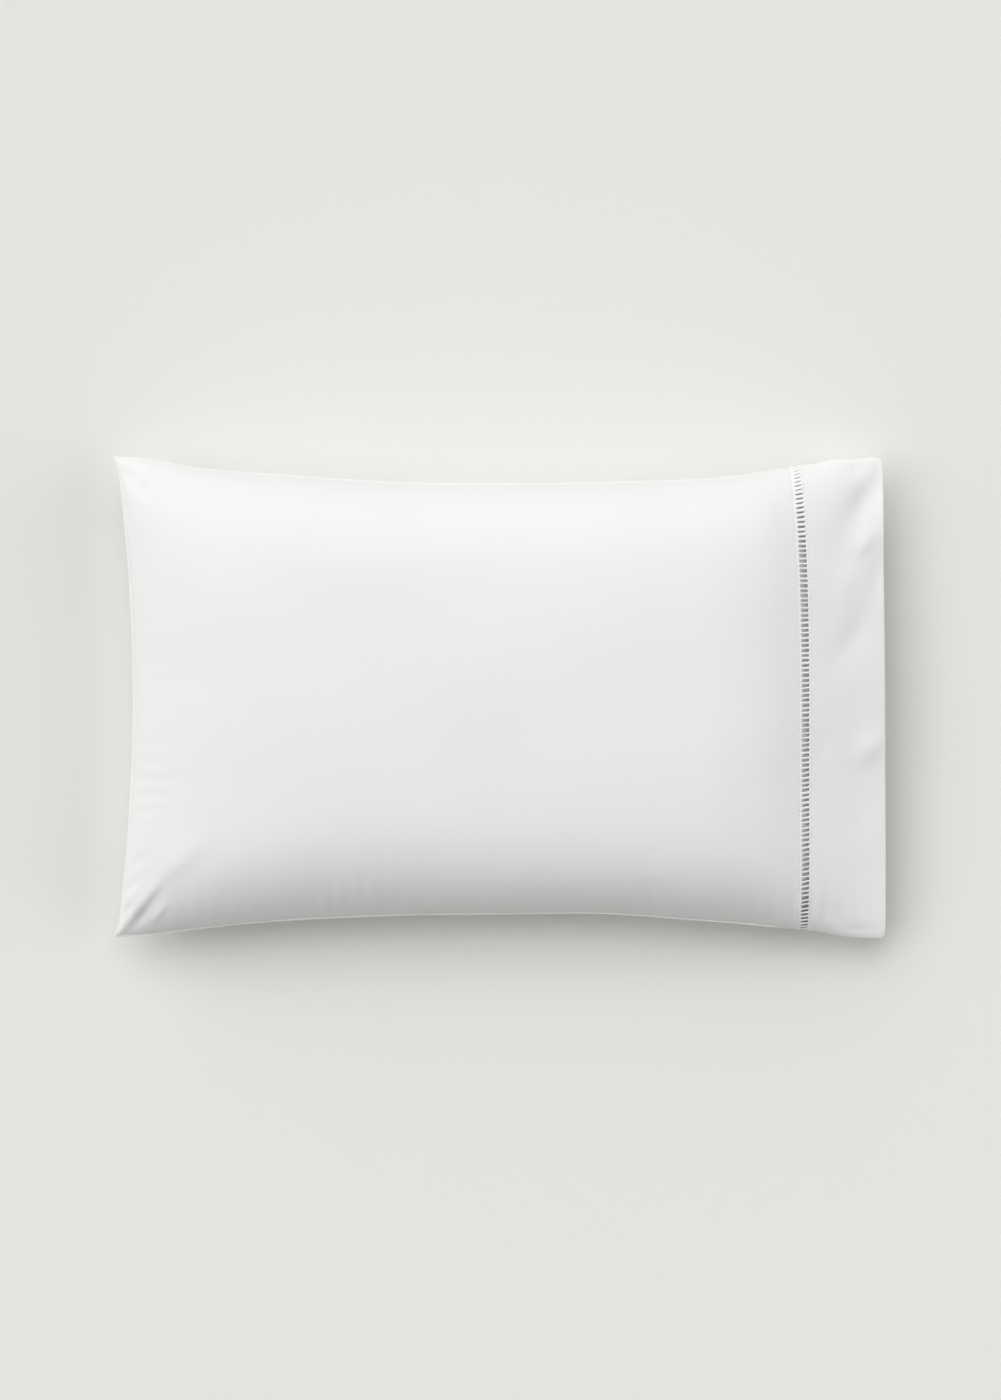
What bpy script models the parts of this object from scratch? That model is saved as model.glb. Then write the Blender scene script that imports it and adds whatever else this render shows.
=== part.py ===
"""A filled white pillowcase with a hemstitched cuff, lying on its back.

Metres, +Z up.  The case lies along X: the closed end seam is at -X and the open mouth at +X.
The origin is the middle of the outline at the surface that the case lies on.

Three pieces, each a closed solid of its own:
  case_body     the cut of the case with its filling: crown, drawn-in sides, flat where it lies
  ladder_strip  the hemstitched insertion that joins the case to the cuff, a ring of thin cloth
  cuff          the deep double hem, an open flattened tube that ends in the mouth
"""
import math

import bmesh
import bpy

# ---------------------------------------------------------------- driving dimensions (metres)
CASE_LENGTH = 0.816          # from the end seam's ears to the mouth
GAP = 0.0003                 # between neighbouring pieces

END_X = -CASE_LENGTH / 2     # the two ears of the end seam
MOUTH_X = CASE_LENGTH / 2
LADDER_X = 0.3125            # where the case's own cloth stops, along its middle
LADDER_WIDTH = 0.0118
LADDER_BOW_FAR = 0.0070      # the ladder's far end lies this much nearer the end seam than its middle,
LADDER_BOW_NEAR = -0.0015    # and its near end this much nearer the mouth
LADDER_BOW_REACH = 0.045     # how far along the case that pull is felt
CUFF_X = LADDER_X + LADDER_WIDTH + 2 * GAP

LADDER_WALL = 0.0010
LADDER_SIDE_WALL = 2 * LADDER_WALL
CUFF_WALL = 0.0018
SIDE_SEAM_ALLOWANCE = 0.0055 # turned-in cloth that fills the cuff along its two side seams

END_DRAW_IN = 0.018          # the end seam curves in by this much between its ears
EAR_LENGTH = 0.005           # the pointed tips of the ears, past that curve
END_RUN = 0.235              # the length over which the end rises to the full crown
END_ROUNDNESS = 2.3
END_FULLNESS = 0.58
EAR_DROP = 0.015             # the ears lie this much below the rest of the end seam
MOUTH_SKEW = 0.0030          # the mouth's far end stops this much short of its near end
MOUTH_CORNER = 0.0025        # and its two corners are rounded by about this much
EAR_SHARPNESS = 24           # powers of the distance from the middle: higher keeps the change
CORNER_SHARPNESS = 60        # closer to the seams
BOW_SHARPNESS = 2
EAR_DROP_SHARPNESS = 6
DRAW_IN_FADE = 3             # powers of the closeness to the end seam: higher makes the change die
EAR_DROP_FADE = 8            # away sooner along the case

SIDE_SHARPNESS = 6.5         # the profile across the case turns down quickly at the sides
SIDE_FULLNESS = 0.75
DOME_SHARE = 0.25            # and this part of it is a soft dome
FLOOR_BLEND = 0.007          # how softly the underside rolls onto the surface

FILLING_STEP = 0.0060        # the filling lies this far under the ladder's face
FILLING_START = 0.0001       # the step down to it takes this much of the gap
FILLING_END_X = 0.3500       # the filling's rounded end, inside the cuff
FILLING_SIDE_STEP = 0.0100
FILLING_SIDE_TAPER = 2.0     # the filling's sides draw in by this many steps more at its very end
FILLING_ROUNDNESS = 2.4

# One row for each section across the case.
# x: place along the seams; far, near: the seam's distance from the middle at +Y and -Y;
# seam_z: the seam's height; crown, belly: how far the top and the underside stand from the seam
SECTION_COLUMNS = ("x", "far", "near", "seam_z", "crown", "belly")
SECTIONS = (
    (-0.408, 0.2540, 0.2532, 0.0640, 0.0800, 0.0900),
    (-0.369, 0.2512, 0.2505, 0.0640, 0.0800, 0.0900),
    (-0.316, 0.2410, 0.2438, 0.0650, 0.0800, 0.0900),
    (-0.232, 0.2341, 0.2354, 0.0660, 0.0805, 0.0900),
    (-0.105, 0.2257, 0.2295, 0.0660, 0.0810, 0.0900),
    (0.000, 0.2246, 0.2283, 0.0660, 0.0810, 0.0900),
    (0.106, 0.2259, 0.2277, 0.0655, 0.0800, 0.0890),
    (0.211, 0.2293, 0.2350, 0.0625, 0.0765, 0.0820),
    (0.254, 0.2334, 0.2385, 0.0595, 0.0705, 0.0710),
    (0.285, 0.2378, 0.2418, 0.0565, 0.0620, 0.0575),
    (0.317, 0.2432, 0.2450, 0.0525, 0.0475, 0.0435),
    (0.338, 0.2461, 0.2475, 0.0490, 0.0385, 0.0345),
    (0.359, 0.2499, 0.2518, 0.0448, 0.0300, 0.0262),
    (0.380, 0.2516, 0.2542, 0.0403, 0.0215, 0.0183),
    (0.408, 0.2530, 0.2548, 0.0360, 0.0110, 0.0085),
)

# One row for each main fold.  The fold runs from (x0, y0) to (x1, y1); height is up for a ridge
# and down, below 0, for a trough; the fold is full at its first end and fades to its last.
FOLD_LEAD = 0.25             # a fold starts this part of its length before its first end
FOLD_SEAM_FADE = 2.0         # and dies away where the profile is under 1 / this
FOLD_COLUMNS = ("x0", "y0", "x1", "y1", "width", "height")
FOLDS = (
    (-0.398, -0.246, -0.330, -0.160, 0.011, 0.0034),
    (-0.390, -0.249, -0.350, -0.200, 0.009, -0.0024),
    (-0.402, 0.236, -0.3945, 0.176, 0.009, -0.0026),
    (0.402, 0.236, 0.364, 0.176, 0.013, -0.0042),
    (0.396, 0.178, 0.370, 0.144, 0.011, 0.0026),
    (0.406, 0.168, 0.391, 0.088, 0.013, -0.0032),
    (0.394, 0.100, 0.345, 0.022, 0.014, -0.0030),
    (0.404, -0.036, 0.368, -0.076, 0.013, 0.0034),
)

# mesh density: spans along each stretch and across the width
BODY_SPANS = 30
FILLING_SPANS = 6
CUFF_SPANS = 8
CROSS_SPANS = 38
BODY_EASING = 0.74           # 0 spaces the body's spans evenly, 1 crowds them at both ends


# ---------------------------------------------------------------- the shape's rules
def column(name, x):
    """A column of SECTIONS at x, on a smooth curve through its rows (Catmull-Rom tangents)."""
    place = SECTION_COLUMNS.index(name)
    last = len(SECTIONS) - 1
    row = 0
    while row < last - 1 and x > SECTIONS[row + 1][0]:
        row += 1
    rows = [SECTIONS[min(max(row + step, 0), last)] for step in (-1, 0, 1, 2)]
    span = rows[2][0] - rows[1][0]
    t = min(max((x - rows[1][0]) / span, 0.0), 1.0)
    start_slope = (rows[2][place] - rows[0][place]) / (rows[2][0] - rows[0][0]) * span
    end_slope = (rows[3][place] - rows[1][place]) / (rows[3][0] - rows[1][0]) * span
    return ((2 * t**3 - 3 * t**2 + 1) * rows[1][place] + (t**3 - 2 * t**2 + t) * start_slope
            + (3 * t**2 - 2 * t**3) * rows[2][place] + (t**3 - t**2) * end_slope)


def end_rise(x):
    """0 at the end seam, 1 from END_RUN onwards: how full the case is near its closed end."""
    run = min(max((x - END_X) / END_RUN, 0.0), 1.0)
    return (1 - (1 - run)**END_ROUNDNESS)**END_FULLNESS


def cross_profile(v):
    """How full the case is across its width: 0 at the seams and 1 in the middle."""
    reach = min(abs(v), 1.0)
    return (1 - DOME_SHARE) * (1 - reach**SIDE_SHARPNESS)**SIDE_FULLNESS + DOME_SHARE * (1 - reach**2)


def on_surface(z):
    """The height of the underside once the surface stops it: never below 0, with a soft roll."""
    if z <= -FLOOR_BLEND:
        return 0.0
    if z >= FLOOR_BLEND:
        return z
    return (z + FLOOR_BLEND)**2 / (4 * FLOOR_BLEND)


def fold_height(x, y):
    """The sum of the main folds at a point of the upper cloth."""
    total = 0.0
    for row in FOLDS:
        fold = dict(zip(FOLD_COLUMNS, row))
        run_x = fold["x1"] - fold["x0"]
        run_y = fold["y1"] - fold["y0"]
        length = math.hypot(run_x, run_y)
        along = ((x - fold["x0"]) * run_x + (y - fold["y0"]) * run_y) / length**2
        aside = ((x - fold["x0"]) * run_y - (y - fold["y0"]) * run_x) / length
        if -FOLD_LEAD < along < 1.0:
            fade = math.sin(math.pi * (along + FOLD_LEAD) / (1.0 + FOLD_LEAD))
            total += fold["height"] * fade * math.exp(-(aside / fold["width"])**2)
    return total


def case_point(x, v, side, inset=0.0, side_inset=0.0, fullness=1.0):
    """A point of the case at x along the seams and v across it, from -1 (near) to 1 (far).

    side is 1 on top and -1 underneath.  inset and side_inset bring the point in from the
    outer face and from the seams, and fullness below 1 draws the section flat.
    """
    half = column("far", x) if v > 0 else column("near", x)
    y = v * (half - side_inset)
    closeness = min(max((CUFF_X - x) / (CUFF_X - END_X), 0.0), 1.0)
    draw_in = END_DRAW_IN * (1 - v * v) + EAR_LENGTH * (1 - abs(v)**EAR_SHARPNESS)
    end_bow = LADDER_BOW_FAR if v > 0 else LADDER_BOW_NEAR
    bow = -end_bow * abs(v)**BOW_SHARPNESS * math.exp(-((x - LADDER_X) / LADDER_BOW_REACH)**2)
    mouth_closeness = max((x - CUFF_X) / (MOUTH_X - CUFF_X), 0.0)
    cut = MOUTH_SKEW * (0.5 + 0.5 * v) + MOUTH_CORNER * abs(v)**CORNER_SHARPNESS
    place_x = x + draw_in * closeness**DRAW_IN_FADE + bow - cut * mouth_closeness
    seam_z = column("seam_z", x) - EAR_DROP * abs(v)**EAR_DROP_SHARPNESS * closeness**EAR_DROP_FADE
    profile = cross_profile(v)
    rise = column("crown" if side > 0 else "belly", x)
    reach = max(rise - inset, 0.0) * end_rise(x) * profile * fullness
    if side < 0:
        return place_x, y, on_surface(seam_z - reach)
    fold = fold_height(place_x, y) * min(profile * FOLD_SEAM_FADE, 1.0)
    return place_x, y, seam_z + reach + fold


# ---------------------------------------------------------------- building the meshes
def cross_places(count):
    """v from -1 to 1, closer together towards the seams, where the cloth turns fastest."""
    return [math.sin((i / count - 0.5) * math.pi) for i in range(count + 1)]


def make_object(name, mesh_builder, colour, roughness):
    """A bmesh as an object with its own plain material, shaded smooth."""
    mesh = bpy.data.meshes.new(name)
    mesh_builder.to_mesh(mesh)
    mesh_builder.free()
    mesh.shade_smooth()
    material = bpy.data.materials.new(name)
    material.use_nodes = True
    surface = material.node_tree.nodes["Principled BSDF"]
    surface.inputs["Base Color"].default_value = colour
    surface.inputs["Roughness"].default_value = roughness
    surface.inputs["Metallic"].default_value = 0.0
    mesh.materials.append(material)
    obj = bpy.data.objects.new(name, mesh)
    collection.objects.link(obj)
    return obj


def body_shares():
    """Places from 0 to 1 along the case, close together at the end seam, where the cloth curves most."""
    turn = math.pi * BODY_EASING
    return [(1 - math.cos(turn * i / BODY_SPANS)) / (1 - math.cos(turn)) for i in range(BODY_SPANS + 1)]


def build_case_body():
    """One closed skin: the case up to the ladder, then the filling's end a step further in."""
    stations = [(END_X + (LADDER_X - END_X) * share, 0.0, 0.0, 1.0) for share in body_shares()]
    filling_x = LADDER_X + FILLING_START
    for i in range(FILLING_SPANS + 1):
        run = math.sin(i / FILLING_SPANS * math.pi / 2)
        x = filling_x + run * (FILLING_END_X - filling_x)
        side_inset = FILLING_SIDE_STEP * (1 + FILLING_SIDE_TAPER * run * run)
        fullness = math.sqrt(max(1 - run**FILLING_ROUNDNESS, 0.0))
        stations.append((x, FILLING_STEP, side_inset, fullness))
    places = cross_places(CROSS_SPANS)
    builder = bmesh.new()
    skins = {}
    last = len(stations) - 1
    for side in (1, -1):
        grid = []
        for i, (x, inset, side_inset, fullness) in enumerate(stations):
            row = []
            for j, v in enumerate(places):
                on_seam = i in (0, last) or j in (0, CROSS_SPANS)
                if side < 0 and on_seam:
                    row.append(skins[1][i][j])
                    continue
                row.append(builder.verts.new(case_point(x, v, side, inset, side_inset, fullness)))
            grid.append(row)
        skins[side] = grid
        for i in range(last):
            for j in range(CROSS_SPANS):
                corners = (grid[i][j], grid[i + 1][j], grid[i + 1][j + 1], grid[i][j + 1])
                builder.faces.new(corners[::side])
    return make_object("case_body", builder, (0.86, 0.86, 0.85, 1.0), 0.85)


def section_ring(x, inset, side_inset):
    """The points of one closed section, over the top from near to far and back underneath."""
    places = cross_places(CROSS_SPANS)
    over = [case_point(x, v, 1, inset, side_inset) for v in places]
    under = [case_point(x, v, -1, inset, side_inset) for v in reversed(places[1:-1])]
    return over + under


def build_tube(name, stations, wall, side_wall, colour, roughness):
    """An open flattened tube: an outer and an inner skin through the stations, joined at both ends."""
    builder = bmesh.new()
    skins = []
    for inset, side_inset in ((0.0, 0.0), (wall, side_wall)):
        skins.append([[builder.verts.new(point) for point in section_ring(x, inset, side_inset)]
                      for x in stations])
    outer, inner = skins
    count = len(outer[0])
    for skin, facing in ((outer, 1), (inner, -1)):
        for first, second in zip(skin, skin[1:]):
            for j in range(count):
                k = (j + 1) % count
                builder.faces.new((first[j], second[j], second[k], first[k])[::facing])
    for end, facing in ((0, 1), (-1, -1)):
        for j in range(count):
            k = (j + 1) % count
            rim = (outer[end][j], outer[end][k], inner[end][k], inner[end][j])
            builder.faces.new(rim[::facing])
    return make_object(name, builder, colour, roughness)


def build_ladder_strip():
    start = LADDER_X + GAP
    stations = (start, start + LADDER_WIDTH / 2, start + LADDER_WIDTH)
    return build_tube("ladder_strip", stations, LADDER_WALL, LADDER_SIDE_WALL,
                      (0.84, 0.84, 0.83, 1.0), 0.9)


def build_cuff():
    start = CUFF_X
    stations = [start + (MOUTH_X - start) * i / CUFF_SPANS for i in range(CUFF_SPANS + 1)]
    return build_tube("cuff", stations, CUFF_WALL, SIDE_SEAM_ALLOWANCE,
                      (0.87, 0.87, 0.86, 1.0), 0.85)


# ---------------------------------------------------------------- the model
for old in list(bpy.data.objects):
    bpy.data.objects.remove(old, do_unlink=True)
collection = bpy.data.collections.new("pillowcase")
bpy.context.scene.collection.children.link(collection)

build_case_body()
build_ladder_strip()
build_cuff()
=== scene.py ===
"""The looks of a filled white pillowcase with a hemstitched cuff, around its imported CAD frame.

The case lies along X on the floor, its closed end at -X and its open mouth at +X, and the camera
looks straight down on it.  The cloth is lofted on the same sections as the CAD solids, at a far
finer step, with the seams, folds and puckers of the real cloth added on top, and a little of what
Blender's cloth simulation makes of it when the filling presses.
"""
import math

import bpy
import numpy as np
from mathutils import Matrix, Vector


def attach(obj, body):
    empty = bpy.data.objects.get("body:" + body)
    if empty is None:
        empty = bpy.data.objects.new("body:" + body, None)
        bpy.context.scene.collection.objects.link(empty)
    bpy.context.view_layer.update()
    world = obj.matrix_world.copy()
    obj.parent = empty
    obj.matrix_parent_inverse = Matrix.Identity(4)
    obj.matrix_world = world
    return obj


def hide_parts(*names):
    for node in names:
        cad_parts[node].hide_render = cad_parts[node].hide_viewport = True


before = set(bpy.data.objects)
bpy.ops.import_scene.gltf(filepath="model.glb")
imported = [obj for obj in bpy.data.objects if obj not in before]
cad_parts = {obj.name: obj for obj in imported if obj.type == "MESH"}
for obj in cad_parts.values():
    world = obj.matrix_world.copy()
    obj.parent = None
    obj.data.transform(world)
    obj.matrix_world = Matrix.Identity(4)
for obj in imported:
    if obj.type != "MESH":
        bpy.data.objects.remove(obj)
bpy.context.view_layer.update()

# ---------------------------------------------------------------- sizes (metres)
GAP = 0.0003                 # between neighbouring pieces
END_X = -0.408               # the two ears of the end seam
MOUTH_X = 0.408
LADDER_X = 0.3125            # where the case's own cloth stops, along its middle
LADDER_WIDTH = 0.0118
CUFF_X = LADDER_X + LADDER_WIDTH + 2 * GAP
LADDER_BOW_FAR = 0.0070      # the ladder's far end lies this much nearer the end seam than its middle,
LADDER_BOW_NEAR = -0.0015    # and its near end this much nearer the mouth
LADDER_BOW_REACH = 0.045     # how far along the case that pull is felt

END_DRAW_IN = 0.018          # the end seam curves in by this much between its ears
EAR_LENGTH = 0.005           # the pointed tips of the ears, past that curve
END_RUN = 0.235              # the length over which the end rises to the full crown
END_ROUNDNESS = 2.3
END_FULLNESS = 0.58
EAR_DROP = 0.015             # the ears lie this much below the rest of the end seam
MOUTH_SKEW = 0.0030          # the mouth's far end stops this much short of its near end
MOUTH_CORNER = 0.0025        # and its two corners are rounded by about this much
EAR_SHARPNESS = 24           # powers of the distance from the middle: higher keeps the change
CORNER_SHARPNESS = 60        # closer to the seams
BOW_SHARPNESS = 2
EAR_DROP_SHARPNESS = 6
DRAW_IN_FADE = 3             # powers of the closeness to the end seam: higher makes the change die
EAR_DROP_FADE = 8            # away sooner along the case
SIDE_SHARPNESS = 6.5         # the profile across the case turns down quickly at the sides
SIDE_FULLNESS = 0.75
DOME_SHARE = 0.25            # and this part of it is a soft dome
FLOOR_BLEND = 0.007          # how softly the underside rolls onto the surface

FILLING_STEP = 0.0060        # the filling lies this far under the ladder's face
FILLING_START = 0.0001       # the step down to it takes this much of the gap
FILLING_END_X = 0.3500       # the filling's rounded end, inside the cuff
FILLING_SIDE_STEP = 0.0100
FILLING_SIDE_TAPER = 2.0     # the filling's sides draw in by this many steps more at its very end
FILLING_ROUNDNESS = 2.4

CUFF_WALL = 0.0017
SIDE_SEAM_ALLOWANCE = 0.0050
MOUTH_ROLL = 0.0012          # the cuff's cloth turns over at the mouth within this length

# Sections across the case, as in the CAD model.
# x: place along the seams; far, near: the seam's distance from the middle at +Y and -Y;
# seam_z: the seam's height; crown, belly: how far the top and the underside stand from the seam
SECTION_COLUMNS = ("x", "far", "near", "seam_z", "crown", "belly")
SECTIONS = np.array((
    (-0.408, 0.2540, 0.2532, 0.0640, 0.0800, 0.0900),
    (-0.369, 0.2512, 0.2505, 0.0640, 0.0800, 0.0900),
    (-0.316, 0.2410, 0.2438, 0.0650, 0.0800, 0.0900),
    (-0.232, 0.2341, 0.2354, 0.0660, 0.0805, 0.0900),
    (-0.105, 0.2257, 0.2295, 0.0660, 0.0810, 0.0900),
    (0.000, 0.2246, 0.2283, 0.0660, 0.0810, 0.0900),
    (0.106, 0.2259, 0.2277, 0.0655, 0.0800, 0.0890),
    (0.211, 0.2293, 0.2350, 0.0625, 0.0765, 0.0820),
    (0.254, 0.2334, 0.2385, 0.0595, 0.0705, 0.0710),
    (0.285, 0.2378, 0.2418, 0.0565, 0.0620, 0.0575),
    (0.317, 0.2432, 0.2450, 0.0525, 0.0475, 0.0435),
    (0.338, 0.2461, 0.2475, 0.0490, 0.0385, 0.0345),
    (0.359, 0.2499, 0.2518, 0.0448, 0.0300, 0.0262),
    (0.380, 0.2516, 0.2542, 0.0403, 0.0215, 0.0183),
    (0.408, 0.2530, 0.2548, 0.0360, 0.0110, 0.0085),
))

# Folds in the cloth.  Each runs from (x0, y0) to (x1, y1), is fullest at peak along that run and
# fades to both ends; height is up for a ridge and below 0 for a trough.  lean shifts the fold's
# foot to one side, so that one flank is steeper.  side: 1 upper cloth, -1 underside.
FOLD_LEAD = 0.15             # a fold starts this part of its length before its first end
FOLD_TAIL = 1.1              # and is gone at this part of its length
FOLD_LEAN_RATE = 1.5         # how quickly a leaning fold changes from one flank to the other
FOLD_COLUMNS = ("side", "x0", "y0", "x1", "y1", "width", "height", "peak", "lean")
FOLDS = (
    # the cuff's upper face
    (1, 0.402, 0.236, 0.364, 0.176, 0.0125, -0.0046, 0.50, 0.10),
    (1, 0.374, 0.250, 0.377, 0.228, 0.0060, -0.0014, 0.40, 0.00),
    (1, 0.4075, 0.236, 0.4075, 0.158, 0.0085, 0.0032, 0.40, 0.00),
    (1, 0.396, 0.178, 0.370, 0.1445, 0.0095, 0.0030, 0.50, -0.30),
    (1, 0.392, 0.222, 0.345, 0.120, 0.0260, -0.0034, 0.50, 0.00),
    (1, 0.408, 0.168, 0.391, 0.088, 0.0130, -0.0036, 0.45, 0.10),
    (1, 0.394, 0.100, 0.345, 0.022, 0.0145, -0.0034, 0.50, 0.10),
    (1, 0.371, 0.146, 0.362, 0.098, 0.0110, 0.0014, 0.50, 0.00),
    (1, 0.4056, -0.037, 0.3698, -0.075, 0.0125, 0.0036, 0.45, -0.20),
    (1, 0.345, -0.030, 0.331, -0.074, 0.0090, -0.0012, 0.50, 0.00),
    (1, 0.400, -0.120, 0.380, -0.176, 0.0140, 0.0009, 0.50, 0.00),
    (1, 0.340, -0.212, 0.366, -0.246, 0.0080, -0.0015, 0.50, 0.00),
    (1, 0.350, -0.2445, 0.404, -0.2460, 0.0060, -0.0012, 0.50, 0.00),
    # the corner at the near end of the end seam
    (1, -0.4035, -0.252, -0.340, -0.175, 0.0070, 0.0042, 0.35, 0.35),
    (1, -0.352, -0.190, -0.297, -0.1375, 0.0120, 0.0022, 0.35, 0.20),
    (1, -0.392, -0.249, -0.352, -0.200, 0.0060, -0.0026, 0.45, 0.00),
    (1, -0.3650, -0.238, -0.3445, -0.213, 0.0034, 0.0020, 0.45, 0.20),
    (1, -0.398, -0.232, -0.381, -0.214, 0.0040, -0.0018, 0.45, 0.00),
    (1, -0.398, -0.220, -0.372, -0.196, 0.0035, 0.0012, 0.40, 0.00),
    (1, -0.396, -0.205, -0.376, -0.190, 0.0040, -0.0014, 0.40, 0.00),
    (1, -0.392, -0.180, -0.362, -0.163, 0.0045, -0.0012, 0.40, 0.00),
    # the corner at the far end of the end seam
    (1, -0.405, 0.247, -0.352, 0.196, 0.0060, -0.0022, 0.30, 0.00),
    (1, -0.392, 0.250, -0.336, 0.214, 0.0060, 0.0016, 0.35, 0.00),
    (1, -0.399, 0.236, -0.391, 0.176, 0.0046, -0.0036, 0.50, 0.00),
    (1, -0.352, 0.246, -0.330, 0.230, 0.0050, 0.0012, 0.30, 0.00),
    # the long sides
    (1, 0.164, 0.236, 0.158, 0.196, 0.0080, -0.0010, 0.40, 0.00),
    (1, -0.128, -0.230, -0.122, -0.198, 0.0045, -0.0009, 0.35, 0.00),
    (1, -0.112, -0.230, -0.106, -0.194, 0.0050, -0.0008, 0.35, 0.00),
    (1, 0.158, -0.232, 0.150, -0.176, 0.0065, -0.0010, 0.35, 0.00),
    (1, 0.148, -0.188, 0.176, -0.178, 0.0050, 0.0006, 0.50, 0.00),
    # the underside
    (-1, 0.397, -0.236, 0.350, -0.170, 0.0100, -0.0026, 0.40, 0.00),
    (-1, 0.400, 0.130, 0.346, 0.070, 0.0110, -0.0024, 0.45, 0.00),
    (-1, 0.398, -0.040, 0.350, -0.004, 0.0100, -0.0018, 0.40, 0.00),
    (-1, -0.403, 0.250, -0.330, 0.160, 0.0080, -0.0030, 0.35, 0.00),
    (-1, -0.403, -0.250, -0.330, -0.160, 0.0080, -0.0030, 0.35, 0.00),
)

# Places where the seam stands out a little.  side: 1 far, -1 near
EDGE_COLUMNS = ("side", "x", "width", "height")
EDGE_BUMPS = (
    (1, 0.356, 0.010, 0.0013),
    (1, 0.397, 0.006, 0.0014),
)

# seams, puckers and slow unevenness
SEAM_FLANGE = 0.0018         # the pressed seam stands this far out of the plump part
FAR_FLANGE_SHARE = 0.9       # and the far one a little less
SEAM_FLANGE_FADE = 0.030     # both fade out over this length before the ladder
SEAM_THICKNESS = 0.0005
FOLD_EDGE_FADE = 0.0055      # folds die away this near to a seam
EDGE_SHARPNESS = 12          # a power of the distance from the middle: higher keeps a bump nearer its seam
PUCKER_DEPTH = 0.0008
PUCKER_LENGTH = 0.022
PUCKER_PITCH = 0.019
PUCKER_WANDER = 2.1          # radians by which the gathers' spacing wanders
PUCKER_RATES = (23, 41, 13.7)  # radians a metre of the slow waves that make them uneven
NEAR_PUCKERS = 2.6           # the near side's gathers are this many times as deep as the far side's
END_PUCKER_REACH = 0.8       # and the end seam's run in further, by 1 over this
SWELL_HEIGHT = 0.0009        # very soft, wide unevenness of the crown
DETAIL_LIFT = 0.012          # the underside's details fade out below this height
GROOVE_LIFT = 0.010          # and its stitched groove below this one
STITCH_LINE = 0.0011         # from the cloth's edge to the row of stitches beside the ladder
GROOVE_DEPTH = 0.0004
GROOVE_WIDTH = 0.0005

# the hemstitched ladder
RUNG_PITCH = 0.0052
RUNG_SHARE = 0.41            # the part of the pitch that a bundle of threads fills
RUNG_CLOSED_Y = 0.238        # the far end's holes fade out between these two places
RUNG_OPEN_Y = 0.150
RUNG_THICKNESS = 0.0009
RUNG_SLANT = 0.55            # the far end's bundles slant by this part of the pitch
RUNG_CLOSED_SHARE = 1.02     # and fill this part of it
RUNG_WAIST = 0.92            # a bundle's width in its middle, and how much it widens at its ends
RUNG_FLARE = 0.30
RUNG_DIP = 0.0002            # a bundle sags by this much between the rails
THREAD_SINK = 0.40           # rails and bundles lie in the cloth by this part of their thickness
RAIL_WIDTH = 0.0026
RAIL_THICKNESS = 0.0010
RAIL_OVERLAP = 0.0003        # the rails lap over the cut edges by this much
RING_SQUARENESS = 0.62       # 1 gives a thread an oval section; less flattens its top
STITCH_LENGTH = 0.0023
STITCH_PITCH = 0.0031
STITCH_RADIUS = 0.00028
STITCH_ARCH = 1.4            # a stitch's rise in radii, and how deep in the groove it starts
STITCH_SINK = 0.75

# the simulated filling-out of the case's cloth
SIM_ROWS = 58                # along the case
SIM_COLUMNS = 44             # across it
SIM_PRESSURE = 4.0
SIM_SLACK = 0.015            # the cloth is this much larger than the form that it is laid on
SIM_FRAMES = 20
SIM_LIMIT = 0.008            # no point moves further than this
SIM_SLOW = 9                 # rounds of averaging that find the slow part, which is left out
SIM_SOFT = 2                 # and that soften what is kept
SIM_SHARE = 0.28             # the pulled-taut case shows this much of the gathers

# mesh steps: spans along each stretch and across the width, and points round a ring
BODY_STEPS = 230
BODY_EASING = 1 / 1.35       # near 0 crowds the body's spans at the end seam only, 1 at both ends
CROSS_STEPS = 150
FILLING_STEPS = 16
CUFF_STEPS = 46
CUFF_CROSS_STEPS = CROSS_STEPS + 30
MOUTH_TURNS = 7
RING_SAMPLES = 1500
RAIL_POINTS = 960
RUNG_POINTS = 9
STITCH_POINTS = 6
# Close steps beside the ladder, as distances from the cloth's edge, where the groove needs them
CASE_EDGE_RUN = 0.006
CASE_EDGE_STEPS = (0.0052, 0.0044, 0.0038, 0.0033, 0.0029, 0.0026, 0.0023, 0.0019, 0.0014, 0.0008,
                   0.0003, 0.0)
CUFF_EDGE_RUN = 0.0058
CUFF_EDGE_STEPS = (0.0, 0.0003, 0.0008, 0.0014, 0.0019, 0.0023, 0.0026, 0.0029, 0.0033, 0.0038, 0.0046)

# the weave: Blender's wave texture repeats every WAVE_REPEAT / scale
WAVE_REPEAT = 0.314
WEAVE_BAND = 0.00030 * 2 * math.pi    # one soft band of the weave, about six threads wide

# the studio
FLOOR_SIZE = 200
FLOOR_DROP = 0.0004          # the floor lies this much under the case
SEAM_HEIGHT = 0.045          # the camera is set up for the height of the outline
CAMERA_DISTANCE = 4.0
VIEW_HEIGHT = 1.477          # the picture's height at that distance
SENSOR_MM = 36

rng = np.random.default_rng(7)


# ---------------------------------------------------------------- the cloth's shape
def smooth_curve(places, values, wanted):
    """Values at the wanted places, on a smooth curve through the given ones (Catmull-Rom tangents)."""
    wanted = np.asarray(wanted, float)
    last = len(places) - 1
    row = np.clip(np.searchsorted(places, wanted, side="left") - 1, 0, last - 1)
    before = np.maximum(row - 1, 0)
    after = np.minimum(row + 2, last)
    trailing = (1,) * (values.ndim - 1)
    span = (places[row + 1] - places[row]).reshape(row.shape + trailing)
    t = np.clip((wanted - places[row]).reshape(row.shape + trailing) / span, 0, 1)
    before_span = (places[row + 1] - places[before]).reshape(row.shape + trailing)
    after_span = (places[after] - places[row]).reshape(row.shape + trailing)
    start = (values[row + 1] - values[before]) / before_span * span
    end = (values[after] - values[row]) / after_span * span
    return ((2 * t**3 - 3 * t**2 + 1) * values[row] + (t**3 - 2 * t**2 + t) * start
            + (3 * t**2 - 2 * t**3) * values[row + 1] + (t**3 - t**2) * end)


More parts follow.
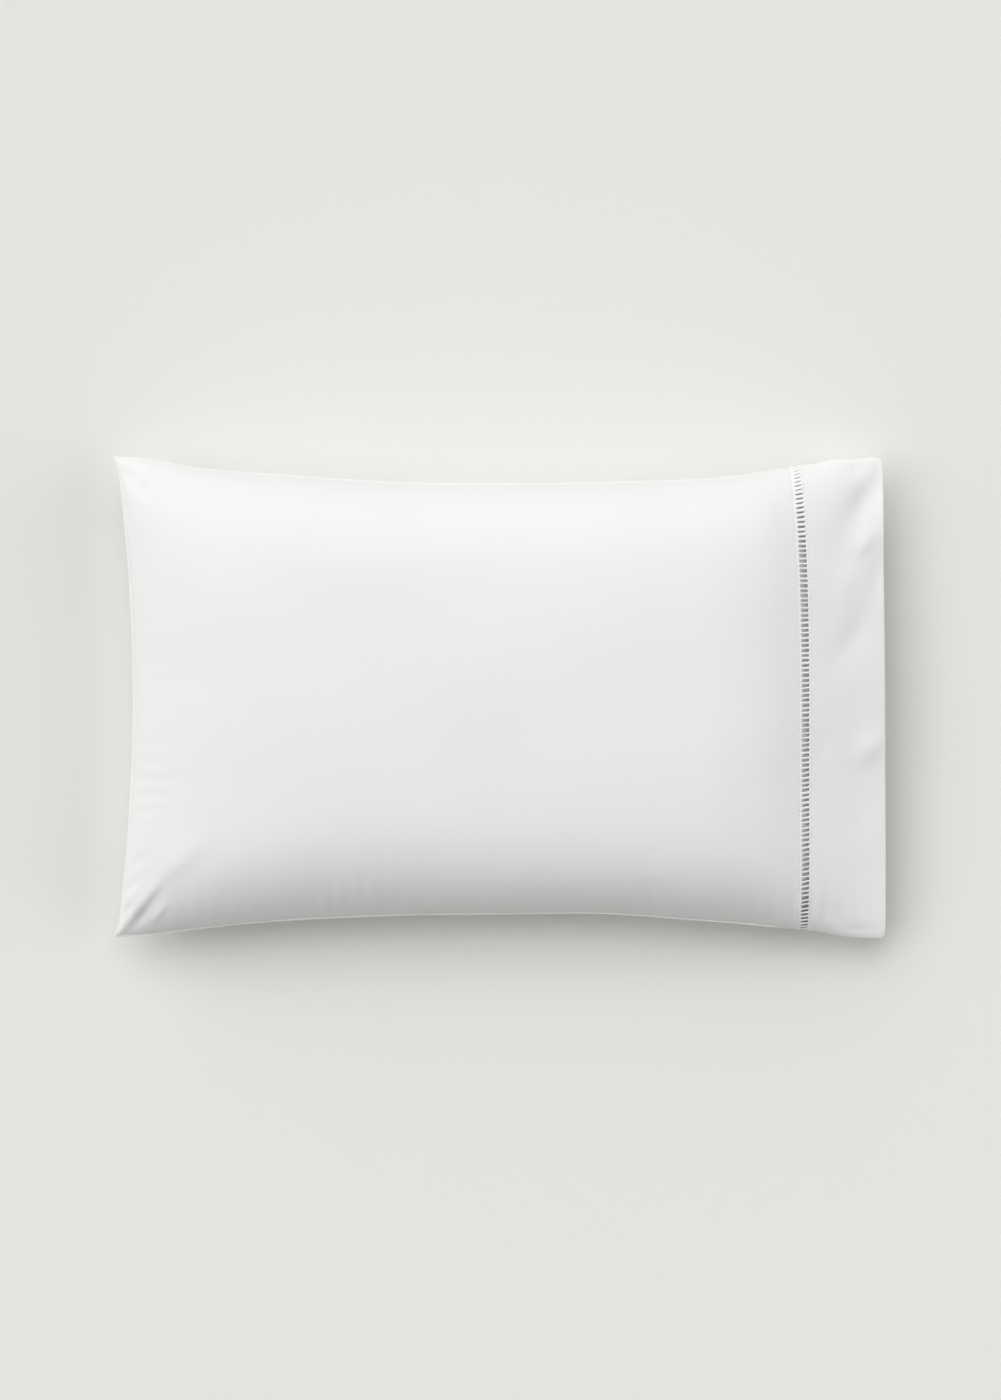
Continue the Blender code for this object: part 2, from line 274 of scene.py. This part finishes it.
def column(name, x):
    """A column of SECTIONS at x."""
    return smooth_curve(SECTIONS[:, 0], SECTIONS[:, SECTION_COLUMNS.index(name)], x)


def end_rise(x):
    """0 at the end seam and 1 from END_RUN onwards."""
    run = np.clip((x - END_X) / END_RUN, 0, 1)
    return (1 - (1 - run)**END_ROUNDNESS)**END_FULLNESS


def cross_profile(v):
    """0 at the seams and 1 in the middle: a soft dome that turns down quickly at the sides."""
    reach = np.clip(np.abs(v), 0, 1)
    return (1 - DOME_SHARE) * (1 - reach**SIDE_SHARPNESS)**SIDE_FULLNESS + DOME_SHARE * (1 - reach**2)


def on_surface(z):
    """The underside's height once the floor stops it, with a soft roll."""
    soft = (z + FLOOR_BLEND)**2 / (4 * FLOOR_BLEND)
    return np.where(z <= -FLOOR_BLEND, 0.0, np.where(z >= FLOOR_BLEND, z, soft))


def fold_height(x, y, side):
    """The sum of the folds on one side of the case."""
    total = np.zeros(np.broadcast(x, y).shape)
    for row in FOLDS:
        fold = dict(zip(FOLD_COLUMNS, row))
        if fold["side"] != side:
            continue
        run_x = fold["x1"] - fold["x0"]
        run_y = fold["y1"] - fold["y0"]
        length = math.hypot(run_x, run_y)
        along = ((x - fold["x0"]) * run_x + (y - fold["y0"]) * run_y) / length**2
        aside = ((x - fold["x0"]) * run_y - (y - fold["y0"]) * run_x) / length / fold["width"]
        rise = np.clip((along + FOLD_LEAD) / (fold["peak"] + FOLD_LEAD), 0, 1)
        fall = np.clip((FOLD_TAIL - along) / (FOLD_TAIL - fold["peak"]), 0, 1)
        fade = np.minimum(rise, fall)
        fade = fade * fade * (3 - 2 * fade)
        narrow = 1 + fold["lean"] * np.tanh(aside * FOLD_LEAN_RATE)
        total += fold["height"] * fade * np.exp(-(aside * narrow)**2)
    return total


def edge_bumps(x, v):
    """How far the bumps of the seams stand out sideways, felt near the seams only."""
    total = np.zeros(x.shape)
    for row in EDGE_BUMPS:
        bump = dict(zip(EDGE_COLUMNS, row))
        on_side = np.clip(bump["side"] * v, 0, 1)**EDGE_SHARPNESS
        total += bump["side"] * bump["height"] * on_side * np.exp(-((x - bump["x"]) / bump["width"])**2)
    return total


def puckers(x, edge_distance, phase):
    """Small uneven gathers that run in from a seam and fade within PUCKER_LENGTH."""
    wander, quick, slow = (np.sin(x * rate + turns * phase) for rate, turns in zip(PUCKER_RATES, (1, 2, 1)))
    wave = (np.sin(x / PUCKER_PITCH * 2 * np.pi + PUCKER_WANDER * wander)
            * (0.55 + 0.45 * quick) * (0.6 + 0.4 * slow))
    reach = edge_distance / PUCKER_LENGTH
    return PUCKER_DEPTH * wave * reach * np.exp(1 - reach * 1.6)


def swell(x, y, side):
    """Very soft, wide unevenness, as a hand leaves on a plumped pillow: three crossed waves."""
    return SWELL_HEIGHT * (np.sin(x * 17 + 1.3 * side) * np.sin(y * 21 + 0.7)
                           + 0.6 * np.sin(x * 31 + y * 19 + 2.0 * side)
                           + 0.4 * np.sin(y * 43 - x * 11))


def case_surface(x, v, side, inset=0.0, side_inset=0.0, fullness=1.0, details=True):
    """Points of the case at x along the seams and v across it, from -1 (near) to 1 (far)."""
    x, v = np.broadcast_arrays(np.asarray(x, float), np.asarray(v, float))
    half = np.where(v > 0, column("far", x), column("near", x))
    y = v * (half - side_inset)
    closeness = np.clip((CUFF_X - x) / (CUFF_X - END_X), 0, 1)
    draw_in = END_DRAW_IN * (1 - v * v) + EAR_LENGTH * (1 - np.abs(v)**EAR_SHARPNESS)
    end_bow = np.where(v > 0, LADDER_BOW_FAR, LADDER_BOW_NEAR)
    bow = -end_bow * np.abs(v)**BOW_SHARPNESS * np.exp(-((x - LADDER_X) / LADDER_BOW_REACH)**2)
    mouth_closeness = np.clip((x - CUFF_X) / (MOUTH_X - CUFF_X), 0, 1)
    cut = MOUTH_SKEW * (0.5 + 0.5 * v) + MOUTH_CORNER * np.abs(v)**CORNER_SHARPNESS
    place_x = x + draw_in * closeness**DRAW_IN_FADE + bow - cut * mouth_closeness
    seam_z = column("seam_z", x) - EAR_DROP * np.abs(v)**EAR_DROP_SHARPNESS * closeness**EAR_DROP_FADE
    flange = SEAM_FLANGE * np.clip((LADDER_X - x) / SEAM_FLANGE_FADE, 0, 1) if details else 0 * x
    side_flange = flange * np.where(v > 0, FAR_FLANGE_SHARE, 1)
    profile = cross_profile(v * half / (half - side_flange))
    fullness = fullness * end_rise(x - np.minimum(flange, x - END_X))
    rise = column("crown" if side > 0 else "belly", x)
    reach = np.maximum(rise - inset, 0) * profile * fullness
    if side > 0:
        z = seam_z + reach
    else:
        z = on_surface(seam_z - reach)
    if details:
        y = y + edge_bumps(x, v)
        to_seam = (1 - np.abs(v)) * half
        to_end = x - END_X
        near_edge = np.minimum(to_seam, to_end) / FOLD_EDGE_FADE
        fade = 1 - np.exp(-near_edge**2)
        hem = np.clip(np.minimum(to_seam, to_end) / SEAM_FLANGE * 3, 0, 1)
        thickness = SEAM_THICKNESS * np.sqrt(hem) * flange / SEAM_FLANGE
        bend = fold_height(place_x, y, side) + swell(place_x, y, side)
        side_phase = np.where(v > 0, 0.4, 2.9) + side
        gather = puckers(place_x, to_seam, side_phase) * np.where(v > 0, 1, NEAR_PUCKERS)
        gather = gather + puckers(y, to_end * END_PUCKER_REACH, 1.7 + side)
        lift = np.clip(z / DETAIL_LIFT, 0, 1) if side < 0 else 1.0
        z = z + side * (bend * fade + gather + thickness) * lift
    return place_x, y, z


def cross_places(count):
    """v from -1 to 1, closer together towards the seams, where the cloth turns fastest."""
    return np.sin(np.linspace(-0.5, 0.5, count + 1) * np.pi)


# ---------------------------------------------------------------- the simulated cloth
def nearest(values, wanted):
    """The index of the value nearest to each wanted one."""
    return np.abs(values[None, :] - wanted[:, None]).argmin(axis=1)


def closed_grid(top, under):
    """The points and quads of two sheets that share their four edges."""
    rows, columns = top.shape[:2]
    top_index = np.arange(rows * columns).reshape(rows, columns)
    under_index = top_index.copy()
    under_index[1:-1, 1:-1] = rows * columns + np.arange((rows - 2) * (columns - 2)).reshape(rows - 2, -1)
    points = np.concatenate((top.reshape(-1, 3), under[1:-1, 1:-1].reshape(-1, 3)))
    faces = []
    for index, step in ((top_index, 1), (under_index, -1)):
        quads = np.stack((index[:-1, :-1], index[1:, :-1], index[1:, 1:], index[:-1, 1:]), axis=-1)
        faces.extend(quads.reshape(-1, 4)[:, ::step].tolist())
    return points, faces, top_index, under_index


def simulated_move(points, faces, pinned):
    """How far Blender's cloth moves each point when the filling presses on slightly loose cloth."""
    mesh = bpy.data.meshes.new("case_rehearsal")
    mesh.from_pydata(points.tolist(), [], faces)
    rehearsal = bpy.data.objects.new("case_rehearsal", mesh)
    bpy.context.scene.collection.objects.link(rehearsal)
    rehearsal.vertex_groups.new(name="pinned").add(pinned.tolist(), 1.0, "REPLACE")
    cloth = rehearsal.modifiers.new("cloth", "CLOTH").settings
    cloth.use_pressure = True
    cloth.uniform_pressure_force = SIM_PRESSURE
    cloth.effector_weights.gravity = 0
    cloth.vertex_group_mass = "pinned"
    cloth.shrink_min = -SIM_SLACK
    cloth.tension_stiffness = 20
    cloth.compression_stiffness = 20
    cloth.bending_stiffness = 0.4
    for frame_number in range(1, SIM_FRAMES + 1):
        bpy.context.scene.frame_set(frame_number)
    settled = rehearsal.evaluated_get(bpy.context.evaluated_depsgraph_get()).data
    place = np.empty(len(points) * 3)
    settled.vertices.foreach_get("co", place)
    bpy.data.objects.remove(rehearsal, do_unlink=True)
    bpy.data.meshes.remove(mesh)
    bpy.context.scene.frame_set(1)
    move = place.reshape(-1, 3) - points
    length = np.linalg.norm(move, axis=1)[:, None]
    return move * np.minimum(1, SIM_LIMIT / np.maximum(length, 1e-9))


def averaged(grid, rounds):
    """A grid with each inner point drawn towards its neighbours, so many times over."""
    soft = grid.copy()
    for _ in range(rounds):
        soft[1:-1] = (soft[:-2] + 2 * soft[1:-1] + soft[2:]) / 4
        soft[:, 1:-1] = (soft[:, :-2] + 2 * soft[:, 1:-1] + soft[:, 2:]) / 4
    return soft


def fill_out(top, under, x, v):
    """Adds the simulated gathers of the cloth to the fine grids of the case."""
    cloth_rows = int(np.count_nonzero(x <= LADDER_X))
    row = nearest(x[:cloth_rows], np.linspace(END_X, LADDER_X, SIM_ROWS))
    across = nearest(v, np.linspace(-1, 1, SIM_COLUMNS))
    coarse_top = top[np.ix_(row, across)]
    coarse_under = under[np.ix_(row, across)]
    points, faces, top_index, under_index = closed_grid(coarse_top, coarse_under)
    border = np.zeros(top_index.shape, bool)
    border[[0, -1], :] = True
    border[:, [0, -1]] = True
    resting = np.flatnonzero(points[:, 2] < FLOOR_BLEND / 4)
    pinned = np.union1d(top_index[border], resting)
    move = simulated_move(points, faces, pinned)
    for grid, index in ((top, top_index), (under, under_index)):
        uneven = (averaged(move[index], SIM_SOFT) - averaged(move[index], SIM_SLOW)) * SIM_SHARE
        along = smooth_curve(x[row], uneven, x[:cloth_rows])
        fine = smooth_curve(v[across], np.swapaxes(along, 0, 1), v)
        grid[:cloth_rows] += np.swapaxes(fine, 0, 1)


# ---------------------------------------------------------------- mesh helpers
def mesh_object(name, points, faces, material):
    """A mesh from arrays of points and quads, smooth, with its material."""
    mesh = bpy.data.meshes.new(name)
    mesh.from_pydata([tuple(p) for p in points], [], [tuple(f) for f in faces])
    mesh.validate()
    mesh.shade_smooth()
    mesh.materials.append(material)
    obj = bpy.data.objects.new(name, mesh)
    bpy.context.scene.collection.objects.link(obj)
    return obj


def tube_along(path, across, up, radius_across, radius_up, closed, sides=8):
    """Points and quads of a tube: a flattened, slightly squared ring at each point of the path."""
    count = len(path)
    turn = np.arange(sides) / sides * 2 * np.pi
    ring_across = np.sign(np.cos(turn)) * np.abs(np.cos(turn))**RING_SQUARENESS
    ring_up = np.sign(np.sin(turn)) * np.abs(np.sin(turn))**RING_SQUARENESS
    ring = (across[:, None, :] * (ring_across[None, :, None] * np.reshape(radius_across, (-1, 1, 1)))
            + up[:, None, :] * (ring_up[None, :, None] * np.reshape(radius_up, (-1, 1, 1))))
    points = (path[:, None, :] + ring).reshape(-1, 3)
    faces = []
    for i in range(count if closed else count - 1):
        n = (i + 1) % count
        for j in range(sides):
            k = (j + 1) % sides
            faces.append((i * sides + j, i * sides + k, n * sides + k, n * sides + j))
    if not closed:
        faces.append(tuple(range(sides))[::-1])
        faces.append(tuple((count - 1) * sides + j for j in range(sides)))
    return points, faces


def joined(pieces):
    """Several (points, faces) pairs as one."""
    points = []
    faces = []
    start = 0
    for piece_points, piece_faces in pieces:
        points.append(piece_points)
        faces.extend(tuple(index + start for index in face) for face in piece_faces)
        start += len(piece_points)
    return np.concatenate(points), faces


# ---------------------------------------------------------------- materials
def new_material(name):
    """A material with its node tree and its Principled shader."""
    material = bpy.data.materials.new(name)
    material.use_nodes = True
    tree = material.node_tree
    return material, tree, tree.nodes["Principled BSDF"]


def add_node(tree, kind, **values):
    """A node with its properties set, and its inputs where a name is one of them."""
    node = tree.nodes.new(kind)
    for name, value in values.items():
        if name in node.inputs:
            node.inputs[name].default_value = value
        else:
            setattr(node, name, value)
    return node


def mixed_colour(tree, factor, low, high):
    """A colour between low and high; a Mix node keeps its two colours in inputs 6 and 7."""
    mix = add_node(tree, "ShaderNodeMix", data_type="RGBA")
    mix.inputs[6].default_value = (*low, 1)
    mix.inputs[7].default_value = (*high, 1)
    tree.links.new(factor, mix.inputs[0])
    return mix.outputs[2]


def cotton(name, low, high, roughness, sheen, weave_depth, slub_depth):
    """Plain-woven cotton: two crossed sets of threads, soft slubs and a slight change of tone."""
    material, tree, surface = new_material(name)
    link = tree.links.new
    place = add_node(tree, "ShaderNodeTexCoord").outputs["Object"]
    tone = add_node(tree, "ShaderNodeTexNoise", Scale=9.0, Detail=3.0, Roughness=0.5)
    link(place, tone.inputs["Vector"])
    link(mixed_colour(tree, tone.outputs["Fac"], low, high), surface.inputs["Base Color"])

    threads = []
    for direction in ("X", "Y"):
        wave = add_node(tree, "ShaderNodeTexWave", wave_type="BANDS", bands_direction=direction,
                        wave_profile="SIN", Distortion=0.6, Detail=1.0)
        wave.inputs["Scale"].default_value = WAVE_REPEAT / WEAVE_BAND
        wave.inputs["Detail Scale"].default_value = 0.4
        link(place, wave.inputs["Vector"])
        threads.append(wave.outputs["Fac"])
    weave = add_node(tree, "ShaderNodeMath", operation="MULTIPLY")
    link(threads[0], weave.inputs[0])
    link(threads[1], weave.inputs[1])

    slub = add_node(tree, "ShaderNodeTexNoise", Scale=85.0, Detail=4.0, Roughness=0.6)
    link(place, slub.inputs["Vector"])

    fine = add_node(tree, "ShaderNodeBump", Strength=0.35, Distance=weave_depth)
    link(weave.outputs[0], fine.inputs["Height"])
    soft = add_node(tree, "ShaderNodeBump", Strength=0.5, Distance=slub_depth)
    link(slub.outputs["Fac"], soft.inputs["Height"])
    link(fine.outputs["Normal"], soft.inputs["Normal"])
    link(soft.outputs["Normal"], surface.inputs["Normal"])

    shine = add_node(tree, "ShaderNodeMapRange")
    shine.inputs["To Min"].default_value = roughness - 0.06
    shine.inputs["To Max"].default_value = roughness + 0.06
    link(slub.outputs["Fac"], shine.inputs["Value"])
    link(shine.outputs["Result"], surface.inputs["Roughness"])
    surface.inputs["Specular IOR Level"].default_value = 0.25
    surface.inputs["Sheen Weight"].default_value = sheen
    surface.inputs["Sheen Roughness"].default_value = 0.5
    return material


def thread_material():
    """White embroidery cotton: fine plies along the thread and a little lustre."""
    material, tree, surface = new_material("white_thread")
    link = tree.links.new
    place = add_node(tree, "ShaderNodeTexCoord").outputs["Object"]
    ply = add_node(tree, "ShaderNodeTexWave", wave_type="BANDS", bands_direction="DIAGONAL",
                   Scale=420.0, Distortion=1.5, Detail=2.0)
    link(place, ply.inputs["Vector"])
    tone = add_node(tree, "ShaderNodeTexNoise", Scale=140.0, Detail=2.0)
    link(place, tone.inputs["Vector"])
    link(mixed_colour(tree, tone.outputs["Fac"], (0.91, 0.91, 0.905), (0.95, 0.95, 0.945)),
         surface.inputs["Base Color"])
    bump = add_node(tree, "ShaderNodeBump", Strength=0.5, Distance=0.0002)
    link(ply.outputs["Fac"], bump.inputs["Height"])
    link(bump.outputs["Normal"], surface.inputs["Normal"])
    surface.inputs["Roughness"].default_value = 0.6
    surface.inputs["Specular IOR Level"].default_value = 0.35
    surface.inputs["Sheen Weight"].default_value = 0.2
    return material


def floor_material():
    """A smooth surface of one plain pale warm grey."""
    material, _, surface = new_material("pale_floor")
    surface.inputs["Base Color"].default_value = (0.806, 0.814, 0.776, 1)
    surface.inputs["Roughness"].default_value = 0.95
    surface.inputs["Specular IOR Level"].default_value = 0.1
    return material


# ---------------------------------------------------------------- the pieces
def build_case(material):
    """The case's cloth up to the ladder and, a step further in, the end of the filling."""
    turn = np.pi * BODY_EASING
    ease = (1 - np.cos(np.linspace(0, turn, BODY_STEPS + 1))) / (1 - math.cos(turn))
    cloth_x = END_X + (LADDER_X - CASE_EDGE_RUN - END_X) * ease
    cloth_x = np.concatenate((cloth_x, LADDER_X - np.array(CASE_EDGE_STEPS)))
    run = np.sin(np.linspace(0, 0.5, FILLING_STEPS + 1) * np.pi)
    filling_x = LADDER_X + FILLING_START + run * (FILLING_END_X - LADDER_X - FILLING_START)
    x = np.concatenate((cloth_x, filling_x))[:, None]
    inset = np.concatenate((0 * cloth_x, 0 * filling_x + FILLING_STEP))[:, None]
    filling_side = FILLING_SIDE_STEP * (1 + FILLING_SIDE_TAPER * run * run)
    side_inset = np.concatenate((0 * cloth_x, filling_side))[:, None]
    fullness = np.concatenate((0 * cloth_x + 1, np.sqrt(np.maximum(1 - run**FILLING_ROUNDNESS, 0))))[:, None]
    v = cross_places(CROSS_STEPS)[None, :]
    groove = -GROOVE_DEPTH * np.exp(-((x - (LADDER_X - STITCH_LINE)) / GROOVE_WIDTH)**2)
    groove = np.where(inset > 0, 0, groove)
    grids = {}
    for side in (1, -1):
        px, py, pz = case_surface(x, v, side, inset, side_inset, fullness)
        pz = pz + side * groove * np.clip(pz / GROOVE_LIFT, 0, 1)
        grids[side] = np.stack((px, py, pz), axis=-1)
    top, under = grids[1], grids[-1]
    fill_out(top, under, x[:, 0], v[0])
    points, faces, _, _ = closed_grid(top, under)
    return mesh_object("case_cloth", points, faces, material)


def ring_path(x, count, lift=0.0, side_inset=0.0):
    """Evenly spaced points round the case at one x, and the length of that ring."""
    dense = np.sin(np.linspace(-0.5, 0.5, RING_SAMPLES) * np.pi)
    over = np.stack(case_surface(x, dense, 1, -lift, side_inset), axis=-1)
    below = np.stack(case_surface(x, dense[::-1], -1, -lift, side_inset), axis=-1)
    loop = np.concatenate((over, below[1:-1], over[:1]))
    step = np.linalg.norm(np.diff(loop, axis=0), axis=1)
    length = np.concatenate(((0,), np.cumsum(step)))
    wanted = np.linspace(0, length[-1], count, endpoint=False)
    path = np.stack([np.interp(wanted, length, loop[:, axis]) for axis in range(3)], axis=-1)
    return path, length[-1]


def directions(path):
    """The direction along a closed ring at each of its points."""
    along = np.roll(path, -1, axis=0) - np.roll(path, 1, axis=0)
    return along / np.linalg.norm(along, axis=1)[:, None]


def build_ladder(material):
    """The hemstitching: two corded rails and the bundles of threads between them, all the way round."""
    first_x = LADDER_X + GAP
    last_x = first_x + LADDER_WIDTH
    rail_in = RAIL_WIDTH / 2 - GAP - RAIL_OVERLAP
    left, girth = ring_path(first_x + rail_in, RAIL_POINTS)
    right, _ = ring_path(last_x - rail_in, RAIL_POINTS)
    cross = right - left
    cross /= np.linalg.norm(cross, axis=1)[:, None]
    along = directions(left)
    out = np.cross(cross, along)
    out /= np.linalg.norm(out, axis=1)[:, None]
    pieces = []
    sink = -out * RAIL_THICKNESS * THREAD_SINK
    for rail in (left, right):
        pieces.append(tube_along(rail + sink, cross, out, RAIL_WIDTH / 2, RAIL_THICKNESS / 2, True,
                                 sides=12))

    step = girth / RAIL_POINTS
    count = int(round(girth / RUNG_PITCH))
    pitch = girth / count
    t = np.linspace(0, 1, RUNG_POINTS)
    flare = RUNG_WAIST + RUNG_FLARE * np.abs(2 * t - 1)**2.5
    for i in range(count):
        place = (i + 0.5) * RAIL_POINTS / count
        k = int(place)
        closing = np.clip((left[k, 1] - RUNG_OPEN_Y) / (RUNG_CLOSED_Y - RUNG_OPEN_Y), 0, 1)
        crowding = 0.05 * math.sin(i * 0.71) + 0.07 * math.sin(i * 0.23 + 1.0)
        share = RUNG_SHARE * rng.uniform(0.90, 1.12) + crowding
        share = share + (RUNG_CLOSED_SHARE - share) * closing
        slant = RUNG_SLANT * closing * pitch / step + rng.normal(0, 0.30) * (1 - closing)
        shift = rng.normal(0, 0.20) * (1 - closing)
        a = sample_ring(left, place + shift - slant / 2)
        b = sample_ring(right, place + shift + slant / 2)
        path = a + (b - a) * t[:, None]
        path -= out[k] * (RUNG_THICKNESS * THREAD_SINK + RUNG_DIP * np.sin(np.pi * t))[:, None]
        across = np.repeat(along[k][None], len(t), axis=0)
        up = np.repeat(out[k][None], len(t), axis=0)
        pieces.append(tube_along(path, across, -up, pitch * share / 2 * flare,
                                 RUNG_THICKNESS / 2 * flare, False, sides=8))
    points, faces = joined(pieces)
    return mesh_object("ladder_threads", points, faces, material)


def sample_ring(ring, place):
    """A point of a closed ring at a place counted in its points, whole or not."""
    low = math.floor(place)
    share = place - low
    return ring[low % len(ring)] * (1 - share) + ring[(low + 1) % len(ring)] * share


def build_stitches(name, x, material):
    """A row of short stitches round the case at one x."""
    _, girth = ring_path(x, 16)
    count = int(round(girth / STITCH_PITCH))
    ring, _ = ring_path(x, count * 2)
    along = directions(ring)
    towards, _ = ring_path(x + 0.001, count * 2)
    cross = towards - ring
    cross /= np.linalg.norm(cross, axis=1)[:, None]
    out = np.cross(cross, along)
    out /= np.linalg.norm(out, axis=1)[:, None]
    t = np.linspace(-0.5, 0.5, STITCH_POINTS)
    pieces = []
    for i in range(count):
        k = 2 * i
        length = STITCH_LENGTH * rng.uniform(0.92, 1.08)
        arch = (np.cos(t * np.pi) * STITCH_RADIUS * STITCH_ARCH - GROOVE_DEPTH * STITCH_SINK)[:, None]
        path = ring[k] + along[k] * (t * length)[:, None] + out[k] * arch
        radius = STITCH_RADIUS * (0.35 + 0.65 * np.cos(t * np.pi)**0.5)
        across = np.repeat(cross[k][None], STITCH_POINTS, axis=0)
        up = np.repeat(out[k][None], STITCH_POINTS, axis=0)
        pieces.append(tube_along(path, across, up, radius, radius, False, sides=6))
    points, faces = joined(pieces)
    return mesh_object(name, points, faces, material)


def build_cuff(material):
    """The deep hem: outer and inner faces, turned over each other at the mouth."""
    rest = np.linspace(CUFF_EDGE_RUN + CUFF_X, MOUTH_X - MOUTH_ROLL, CUFF_STEPS)
    x_out = np.concatenate((CUFF_X + np.array(CUFF_EDGE_STEPS), rest))
    groove = -GROOVE_DEPTH * np.exp(-((x_out - (CUFF_X + STITCH_LINE)) / GROOVE_WIDTH)**2)
    v = cross_places(CUFF_CROSS_STEPS)
    loops = []
    for x, dip in zip(x_out, groove):
        loops.append(cuff_loop(x, v, dip, 0.0, 0.0))
    for turn in np.linspace(0, np.pi, MOUTH_TURNS)[1:-1]:
        share = (1 - math.cos(turn)) / 2
        x = MOUTH_X - MOUTH_ROLL + MOUTH_ROLL * math.sin(turn)
        loops.append(cuff_loop(x, v, 0.0, CUFF_WALL * share, SIDE_SEAM_ALLOWANCE * share))
    for x in x_out[::-1]:
        loops.append(cuff_loop(x, v, 0.0, CUFF_WALL, SIDE_SEAM_ALLOWANCE))
    count = len(loops[0])
    points = np.concatenate(loops)
    index = np.arange(len(points)).reshape(len(loops), count)
    index = np.concatenate((index, index[:1]))
    ahead = np.roll(index, -1, axis=1)
    quads = np.stack((index[:-1], index[1:], ahead[1:], ahead[:-1]), axis=-1)
    return mesh_object("cuff_cloth", points, quads.reshape(-1, 4).tolist(), material)


def cuff_loop(x, v, dip, inset, side_inset):
    """One closed section of the cuff, over the top from near to far and back underneath."""
    over = np.stack(case_surface(x, v, 1, inset - dip, side_inset), axis=-1)
    below = np.stack(case_surface(x, v[::-1], -1, inset - dip, side_inset), axis=-1)
    return np.concatenate((over, below[1:-1]))


# ---------------------------------------------------------------- the studio
def sun(name, azimuth, elevation, strength, softness):
    """Even light from a compass direction (0 is +Y, 90 is +X), softness being the source's angle."""
    data = bpy.data.lights.new(name, "SUN")
    data.energy = strength
    data.angle = math.radians(softness)
    light = bpy.data.objects.new(name, data)
    turn = math.radians(azimuth)
    rise = math.radians(elevation)
    towards = Vector((math.sin(turn) * math.cos(rise), math.cos(turn) * math.cos(rise), math.sin(rise)))
    light.rotation_mode = "QUATERNION"
    light.rotation_quaternion = towards.to_track_quat("Z", "Y")
    bpy.context.scene.collection.objects.link(light)


def build_studio():
    """The plain floor, the lights and the camera straight above."""
    bpy.ops.mesh.primitive_plane_add(size=FLOOR_SIZE)
    floor = bpy.context.object
    floor.name = "floor"
    floor.location = (0, 0, -FLOOR_DROP)
    floor.data.materials.append(floor_material())

    sun("overhead", azimuth=0, elevation=60, strength=1.02, softness=45)
    sun("rim", azimuth=0, elevation=14, strength=0.20, softness=40)
    sun("key", azimuth=325, elevation=35, strength=0.89, softness=45)
    sun("left", azimuth=272, elevation=25, strength=0.47, softness=45)
    sun("left_high", azimuth=272, elevation=50, strength=0.82, softness=45)
    sun("right", azimuth=92, elevation=27, strength=1.08, softness=50)

    world = bpy.data.worlds.new("studio")
    bpy.context.scene.world = world
    world.use_nodes = True
    background = world.node_tree.nodes["Background"]
    background.inputs["Color"].default_value = (1.0, 1.0, 0.98, 1)
    background.inputs["Strength"].default_value = 0.076

    camera = bpy.data.objects.new("camera", bpy.data.cameras.new("camera"))
    camera.location = (0.001, -0.003, CAMERA_DISTANCE + SEAM_HEIGHT)
    camera.data.lens = SENSOR_MM * CAMERA_DISTANCE / VIEW_HEIGHT
    camera.data.clip_end = FLOOR_SIZE + 50
    bpy.context.scene.collection.objects.link(camera)
    bpy.context.scene.camera = camera
    bpy.context.scene.view_settings.view_transform = "Standard"


# ---------------------------------------------------------------- putting it together
case_material = cotton("case_percale", low=(0.84, 0.84, 0.835), high=(0.87, 0.87, 0.865),
                       roughness=0.82, sheen=0.15, weave_depth=0.00008, slub_depth=0.00012)
# The cuff's cloth is painted a touch paler than the case's: partly for its double layer, partly as painted
# light that offsets the shade on its slope down to the mouth
cuff_material_painted_lighter = cotton("cuff_percale", low=(0.865, 0.865, 0.86), high=(0.895, 0.895, 0.89),
                       roughness=0.82, sheen=0.15, weave_depth=0.00008, slub_depth=0.00016)
thread = thread_material()

case = build_case(case_material)
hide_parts("case_body")
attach(case, "root")

ladder = build_ladder(thread)
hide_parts("ladder_strip")
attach(ladder, "root")

cuff = build_cuff(cuff_material_painted_lighter)
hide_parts("cuff")
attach(cuff, "root")

for name, x in (("case_stitch_row", LADDER_X - STITCH_LINE), ("cuff_stitch_row", CUFF_X + STITCH_LINE)):
    row = build_stitches(name, x, thread)
    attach(row, "root")

build_studio()
